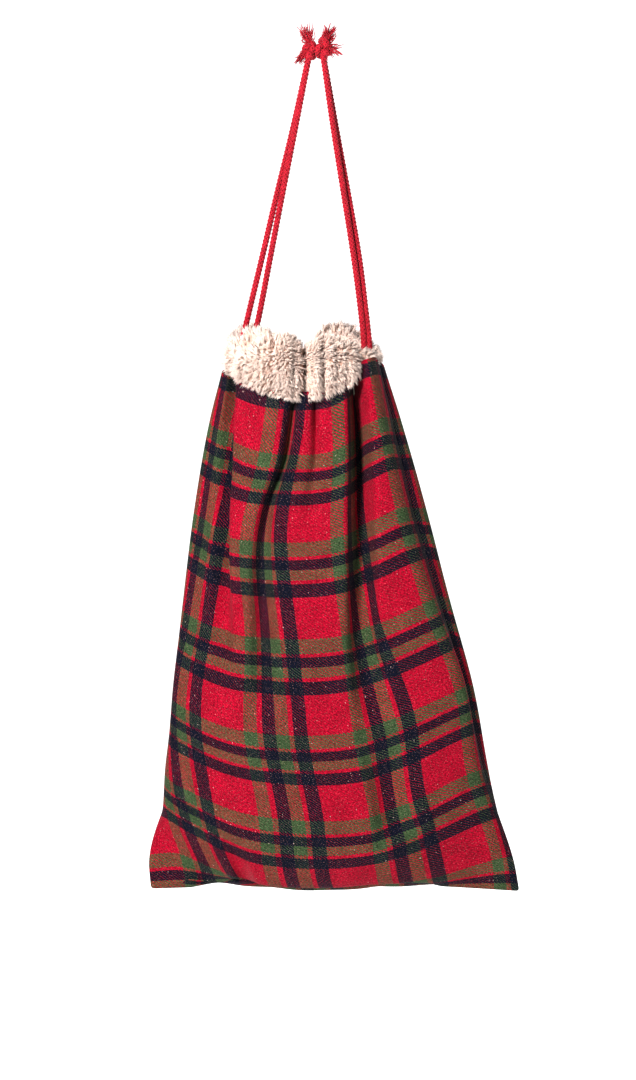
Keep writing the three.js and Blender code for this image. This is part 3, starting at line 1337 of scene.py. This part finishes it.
@dataclass
class Channel:
    """The drawcord channel at the sack's neck: two cord runs behind two tapes.

    Each run has its name, its drop below the cloth's top edge and the place of its gap, counted in columns.
    Sizes are in millimetres.
    """

    body: SackBody
    runs: tuple = (("left_cord_run", 9.0, 6), ("right_cord_run", 18.0, -6))
    cord_inset: float = 9.0
    tape_drop: float = 14.0
    tape_inset: float = 15.0
    tape_height: float = 24.0
    tape_thickness: float = 0.8

    def loop(self, drop: float, inset: float) -> np.ndarray:
        """Follows the neck inside the cloth.

        Args:
            drop: how far below the cloth's top edge.
            inset: how far inside it.

        Returns:
            The points round the neck, not closed.
        """
        drape = self.body.drape
        rows = SACK_HEIGHT / self.body.rows
        ring = drape[-1 - int(round(drop / rows))]
        middle = ring.mean(axis=0)
        arm = (ring - middle) * (1.0, 1.0, 0.0)
        reach = np.linalg.norm(arm, axis=1)
        near = np.min([np.roll(reach, shift) for shift in range(-7, 8)], axis=0)
        smooth = middle + unit(arm) * near[:, None]
        smooth[:, 2] = ring[:, 2]
        for _ in range(40):
            smooth = (np.roll(smooth, 1, axis=0) + 2 * smooth + np.roll(smooth, -1, axis=0)) / 4
        inward = unit((middle - smooth) * (1.0, 1.0, 0.0))
        return smooth + inward * inset

    def build(self, cord: bpy.types.Material, tape: bpy.types.Material) -> None:
        """Makes the cord runs and the tapes.

        Args:
            cord: the braid's material.
            tape: the tape's material.
        """
        for name, drop, gap in self.runs:
            ring = np.roll(self.loop(drop, self.cord_inset), gap, axis=0)
            parts = MeshParts()
            Braid(step=1.6).add(parts, even(ring[:-3], 1.6))
            piece = dress(parts.piece(name + "_braid", YARN_MAP), cord)
            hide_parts(name)
            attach(piece, Body.SACK.value)
        half = self.body.columns
        for side in Side:
            ring = self.loop(self.tape_drop, self.tape_inset)
            line = ring[4:half - 3] if side is Side.FRONT else ring[half + 4:-3]
            steps = np.linspace(-self.tape_height / 2, self.tape_height / 2, 5)
            rows = line[None, :, :] + steps[:, None, None] * (0.0, 0.0, 1.0)
            reach = np.r_[0, np.cumsum(np.linalg.norm(np.diff(line, axis=0), axis=1))]
            maps = np.stack(np.meshgrid(reach * MM, steps * MM), -1)
            parts = MeshParts()
            parts.grid(rows, maps)
            name = side.value + "_channel_tape"
            piece = dress(parts.piece(name + "_woven", CLOTH_MAP), tape)
            thick = piece.modifiers.new("thick", "SOLIDIFY")
            thick.thickness, thick.offset = self.tape_thickness * MM, 0.0
            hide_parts(name)
            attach(piece, Body.SACK.value)


# ---------------------------------------------------------------- the fur ruffle


@dataclass(frozen=True)
class Tuft:
    """One lock of pile: a few tapered, bent fibres. Millimetres."""

    fibres: int = 5
    length: float = 12.5
    seed: int = 5

    def build(self) -> bpy.types.Object:
        """Makes the lock, standing on the origin along +Z.

        Returns:
            The lock, with its share of length as a point attribute.
        """
        draw = random.Random(self.seed)
        corners, faces, share = [], [], []
        for k in range(self.fibres):
            turn = 2 * math.pi * k / self.fibres + draw.uniform(-0.5, 0.5)
            foot = np.array([math.cos(turn), math.sin(turn), 0.0]) * draw.uniform(0.3, 1.1)
            high = self.length * draw.uniform(0.75, 1.0)
            lean = np.array([draw.uniform(-1, 1), draw.uniform(-1, 1), 0.0]) * 1.6
            levels = ((0.0, foot, 0.50), (0.5, foot * 1.1 + lean * 0.25, 0.40))
            first = len(corners)
            for at, centre, wide in levels:
                for c in range(3):
                    angle = turn + 2 * math.pi * c / 3
                    corner = centre + np.array([math.cos(angle), math.sin(angle), 0.0]) * wide
                    corners.append(tuple((corner + (0.0, 0.0, at * high)) * MM))
                    share.append(at)
            corners.append(tuple((foot * 0.6 + lean + (1.2, 0.0, high)) * MM))
            share.append(1.0)
            for c in range(3):
                n = (c + 1) % 3
                faces.append((first + c, first + n, first + 3 + n, first + 3 + c))
                faces.append((first + 3 + c, first + 3 + n, first + 6))
            faces.append((first + 2, first + 1, first))
        mesh = bpy.data.meshes.new("lock")
        mesh.from_pydata(corners, [], faces)
        mesh.attributes.new(TIP, "FLOAT", "POINT").data.foreach_set("value", share)
        mesh.polygons.foreach_set("use_smooth", [True] * len(mesh.polygons))
        made = bpy.data.objects.new("lock", mesh)
        bpy.context.scene.collection.objects.link(made)
        return made


class PileTree:
    """The node tree that plants locks of pile all over a surface."""

    def __init__(self, material: bpy.types.Material) -> None:
        """Builds the tree with its named inputs.

        Args:
            material: the fur.
        """
        self.tree = bpy.data.node_groups.new("pile", "GeometryNodeTree")
        face = self.tree.interface
        face.new_socket("Geometry", in_out="INPUT", socket_type="NodeSocketGeometry")
        face.new_socket("Lock", in_out="INPUT", socket_type="NodeSocketObject")
        for name in ("Density", "Smallest", "Largest", "Ruffled"):
            face.new_socket(name, in_out="INPUT", socket_type="NodeSocketFloat")
        face.new_socket("Seed", in_out="INPUT", socket_type="NodeSocketInt")
        face.new_socket("Geometry", in_out="OUTPUT", socket_type="NodeSocketGeometry")
        self.wire(material)

    def node(self, kind: str, **values: object) -> bpy.types.Node:
        """Adds a node.

        Args:
            kind: the node's type.
            values: its properties, by name.

        Returns:
            The node.
        """
        made = self.tree.nodes.new(kind)
        for name, value in values.items():
            setattr(made, name, value)
        return made

    def wire(self, material: bpy.types.Material) -> None:
        """Scatters points, turns a lock along the lay at each, and makes them real.

        Args:
            material: the fur.
        """
        link = self.tree.links.new
        given = self.node("NodeGroupInput")
        result = self.node("NodeGroupOutput")
        scatter = self.node("GeometryNodeDistributePointsOnFaces", distribute_method="RANDOM")
        link(given.outputs["Geometry"], scatter.inputs["Mesh"])
        cover = self.node("GeometryNodeInputNamedAttribute", data_type="FLOAT")
        cover.inputs["Name"].default_value = COVER
        thinned = self.node("ShaderNodeMath", operation="MULTIPLY")
        link(given.outputs["Density"], thinned.inputs[0])
        link(cover.outputs["Attribute"], thinned.inputs[1])
        link(thinned.outputs[0], scatter.inputs["Density"])
        link(given.outputs["Seed"], scatter.inputs["Seed"])
        lay = self.node("GeometryNodeInputNamedAttribute", data_type="FLOAT_VECTOR")
        lay.inputs["Name"].default_value = LAY
        stray = self.node("FunctionNodeRandomValue", data_type="FLOAT_VECTOR")
        stray.inputs["Min"].default_value = (-1.0, -1.0, -1.0)
        stray.inputs["Max"].default_value = (1.0, 1.0, 1.0)
        link(given.outputs["Seed"], stray.inputs["Seed"])
        ruffled = self.node("ShaderNodeVectorMath", operation="SCALE")
        link(stray.outputs["Value"], ruffled.inputs[0])
        link(given.outputs["Ruffled"], ruffled.inputs["Scale"])
        aim = self.node("ShaderNodeVectorMath", operation="ADD")
        link(lay.outputs["Attribute"], aim.inputs[0])
        link(ruffled.outputs[0], aim.inputs[1])
        turn = self.node("FunctionNodeAlignRotationToVector", axis="Z")
        link(aim.outputs[0], turn.inputs["Vector"])
        size = self.node("FunctionNodeRandomValue", data_type="FLOAT")
        link(given.outputs["Smallest"], size.inputs[2])
        link(given.outputs["Largest"], size.inputs[3])
        link(given.outputs["Seed"], size.inputs["Seed"])
        lock = self.node("GeometryNodeObjectInfo")
        link(given.outputs["Lock"], lock.inputs["Object"])
        plant = self.node("GeometryNodeInstanceOnPoints")
        link(scatter.outputs["Points"], plant.inputs["Points"])
        link(lock.outputs["Geometry"], plant.inputs["Instance"])
        link(turn.outputs["Rotation"], plant.inputs["Rotation"])
        link(size.outputs[1], plant.inputs["Scale"])
        real = self.node("GeometryNodeRealizeInstances")
        link(plant.outputs["Instances"], real.inputs["Geometry"])
        finish = self.node("GeometryNodeSetMaterial")
        finish.inputs["Material"].default_value = material
        link(real.outputs["Geometry"], finish.inputs["Geometry"])
        link(finish.outputs["Geometry"], result.inputs["Geometry"])

    def plant(self, ground: bpy.types.Object, name: str, values: dict[str, object]) -> bpy.types.Object:
        """Grows the pile of one surface as its own piece.

        Args:
            ground: the surface, which carries the lay.
            name: the pile's name.
            values: the tree's inputs by name.

        Returns:
            The pile as a plain mesh.
        """
        bed = ground.copy()
        bed.data = ground.data.copy()
        bed.modifiers.clear()
        bpy.context.scene.collection.objects.link(bed)
        grown = bed.modifiers.new("pile", "NODES")
        grown.node_group = self.tree
        sockets = {s.name: s.identifier for s in self.tree.interface.items_tree if s.in_out == "INPUT"}
        for key, value in values.items():
            grown[sockets[key]] = value
        return frozen(bed, name)


@dataclass(frozen=True)
class Pleat:
    """An inward crease of the ruffle: its direction in degrees, half width and depth in millimetres."""

    angle: float
    width: float
    depth: float


@dataclass
class FurRuffle:
    """The gathered fur collar: an outside and an inside strip on each panel. Millimetres and degrees."""

    rim: tuple = (
        (0.0, -357.0), (25.0, -346.0), (45.0, -326.0), (62.0, -325.0), (80.0, -340.0), (98.0, -358.0),
        (116.0, -344.0), (140.0, -326.0), (157.0, -333.0), (172.0, -343.0), (184.0, -348.0), (197.0, -357.0),
        (212.0, -361.0), (224.0, -356.0), (246.0, -343.0), (262.0, -345.0), (272.0, -356.0), (284.0, -345.0),
        (315.0, -352.0), (340.0, -361.0), (360.0, -357.0),
    )
    inner_rise: tuple = (
        (0.0, 0.0), (170.0, 0.0), (190.0, 6.0), (210.0, 25.0), (232.0, 14.0), (252.0, -4.0), (360.0, -3.0),
    )
    pleats: tuple = (
        Pleat(272.0, 7.0, 26.0), Pleat(246.0, 6.0, 9.0), Pleat(300.0, 7.0, 3.0), Pleat(222.0, 8.0, 4.0),
        Pleat(322.0, 6.0, 7.0), Pleat(200.0, 9.0, 9.0), Pleat(96.0, 9.0, 12.0), Pleat(130.0, 7.0, 7.0),
        Pleat(60.0, 7.0, 7.0),
    )
    centre_x: float = -17.5
    half_width: float = 86.0
    half_depth: float = 47.5
    inset: float = 13.0
    columns: int = 300
    rows: int = 16
    small_pleats: int = 17
    slit_depth: float = 17.0
    slit_width: float = 0.12
    front_dip: float = 37.0
    back_dip: float = 28.0
    base_level: float = -382.0
    side_rise: float = 16.0
    tuck: float = 29.0
    tuck_level: float = -379.0
    tuck_side_rise: float = 12.0
    tuck_dip: float = 25.0
    thickness: float = 1.2
    lay_at: tuple = (0.0, 0.35, 0.8, 1.0)
    outside_lay: tuple = (-0.95, -0.75, 0.1, 1.1)
    inside_lay: tuple = (-0.2, 0.2, 0.6, 1.2)
    density: float = 200000.0
    inside_density: float = 120000.0
    smallest: float = 0.62
    largest: float = 1.05
    ruffled: float = 0.34
    seed: int = 7

    def point(self, angle: float, share: float, inner: bool) -> tuple[float, float, float]:
        """Places one point of the backing.

        Args:
            angle: the direction from the middle, in degrees; 0 is right and 270 is the front.
            share: the share of the height, from the channel to the rim.
            inner: it is on the inside strip.

        Returns:
            The point.
        """
        turn = math.radians(angle)
        dip = self.front_dip if angle > 180 else self.back_dip
        low = self.base_level + self.side_rise * max(math.cos(turn), 0.0) ** 4 - dip * math.sin(turn) ** 2
        high = smooth_value([a for a, _ in self.rim], [z for _, z in self.rim], angle)
        if inner:
            high += smooth_value([a for a, _ in self.inner_rise], [z for _, z in self.inner_rise], angle)
        out = 3.0 * math.sin(math.pi * min(share * 1.15, 1.0)) + 1.0 * share
        for pleat in self.pleats:
            near = (angle - pleat.angle) / pleat.width
            out -= pleat.depth * math.exp(-near * near) * (0.55 + 0.45 * share)
        place = angle * self.small_pleats / 180.0 + 0.22 * math.sin(turn * 7.0) + 0.13 * math.sin(turn * 17.0)
        slit = (place - round(place)) / self.slit_width
        out -= self.slit_depth * math.exp(-slit * slit) * (1 - 0.3 * share)
        side = abs(math.cos(turn)) ** 12
        out += 2.5 * side * (math.cos(turn) > 0)
        if inner:
            out -= self.inset * (1 - 0.75 * side) - 3.0 * share
        level = low + (high - low) * share
        if share == 0.0 and not inner:
            out -= self.tuck * (1 - side)
            level = self.tuck_level + self.tuck_side_rise * max(math.cos(turn), 0.0) ** 4
            level -= self.tuck_dip * math.sin(turn) ** 2
        wide, deep = self.half_width + out, self.half_depth + out
        return self.centre_x + wide * math.cos(turn), deep * math.sin(turn), level

    def ground(self, side: Side, inner: bool, turned: bool = False) -> bpy.types.Object:
        """Makes the backing of one strip, with the lay of its pile.

        Args:
            side: the panel it is sewn to.
            inner: it is the inside strip.
            turned: the pile is for the top of its other side, where the strip folds over.

        Returns:
            The backing.
        """
        first = 180.0 if side is Side.FRONT else 0.0
        angles = np.linspace(first, first + 180.0, self.columns)
        shares = np.linspace(0, 1, self.rows)
        rows = np.array([[self.point(a, s, inner) for a in angles] for s in shares])
        maps = np.stack(np.meshgrid(angles * SACK_WIDTH * MM / 180.0, shares * RUFFLE_HEIGHT * MM), -1)
        parts = MeshParts()
        parts.grid(rows, maps, flip=inner and not turned)
        name = side.value + ("_ruffle_inside" if inner else "_ruffle_outside")
        made = parts.piece(name + "_backing", CLOTH_MAP)
        lay = made.data.attributes.new(LAY, "FLOAT_VECTOR", "POINT")
        turns = np.radians(np.tile(angles, self.rows))
        heights = np.repeat(shares, len(angles))
        level = np.zeros(len(turns))
        outward = np.stack([np.cos(turns), np.sin(turns), level], 1) * (-1.0 if inner and not turned else 1.0)
        rise = np.interp(heights, self.lay_at, self.inside_lay if inner else self.outside_lay)
        sweep = np.stack([np.sin(turns), -np.cos(turns), level], 1) * 0.25 * np.sin(turns * 5)[:, None]
        aim = unit(outward * 0.75 + sweep + np.stack([level, level, rise], 1))
        lay.data.foreach_set("vector", aim.ravel())
        degrees = np.degrees(turns)
        cover = np.ones(len(turns))
        for pleat in self.pleats:
            near = (degrees - pleat.angle) / (0.55 * pleat.width)
            cover -= 0.75 * min(pleat.depth / 20.0, 1.0) * np.exp(-(near**2))
        # The pile thins here so the bare backing shows as a hollow; the backing wears the fur's root colour,
        # which is painted shade.
        if inner and side is Side.BACK:
            cover -= 0.9 * np.exp(-((degrees - 143.0) / 8.0) ** 2 - ((heights - 0.66) / 0.20) ** 2)
        cover = np.clip(cover, 0.1, 1) * (np.clip(heights * 5.0 - 3.3, 0, 1) if turned else 1.0)
        made.data.attributes.new(COVER, "FLOAT", "POINT").data.foreach_set("value", cover)
        return made

    def build(self, material: bpy.types.Material) -> None:
        """Makes the four strips and their pile.

        Args:
            material: the fur.
        """
        lock = Tuft().build()
        tree = PileTree(material)
        for side in Side:
            for inner in (False, True):
                backing = self.ground(side, inner)
                name = backing.name.replace("_backing", "")
                beds = [(backing, name + "_pile")]
                if inner:
                    beds.append((self.ground(side, inner, turned=True), name + "_turned_pile"))
                for bed, pile_name in beds:
                    pile = tree.plant(bed, pile_name, {
                        "Lock": lock,
                        "Density": self.inside_density if bed is backing and inner else self.density,
                        "Smallest": self.smallest, "Largest": self.largest, "Ruffled": self.ruffled,
                        "Seed": len(pile_name) + self.seed,
                    })
                    dress(pile, material)
                    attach(pile, Body.SACK.value)
                    if bed is not backing:
                        bpy.data.objects.remove(bed)
                # The backing has no tip attribute, so it takes the fur's darkest root colour: the painted
                # shade of the pile.
                dress(backing, material)
                thick = backing.modifiers.new("thick", "SOLIDIFY")
                thick.thickness = self.thickness * MM
                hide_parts(name)
                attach(backing, Body.SACK.value)
        bpy.data.objects.remove(lock)


# ---------------------------------------------------------------- making it all


def main() -> None:
    """Builds the studio, then the cords, then the sack from the cloth outwards."""
    logging.basicConfig(level=logging.INFO, format="%(name)s: %(message)s")
    Studio().build()
    cotton = BraidedCotton().build()
    tartan = TartanTwill().build()
    DrawCords().build(cotton, HangingEnds().build(cotton))
    body = SackBody()
    body.build(tartan)
    Channel(body).build(cotton, PlainTape().build())
    FurRuffle().build(FauxFur().build())


if __name__ == "__main__":
    main()
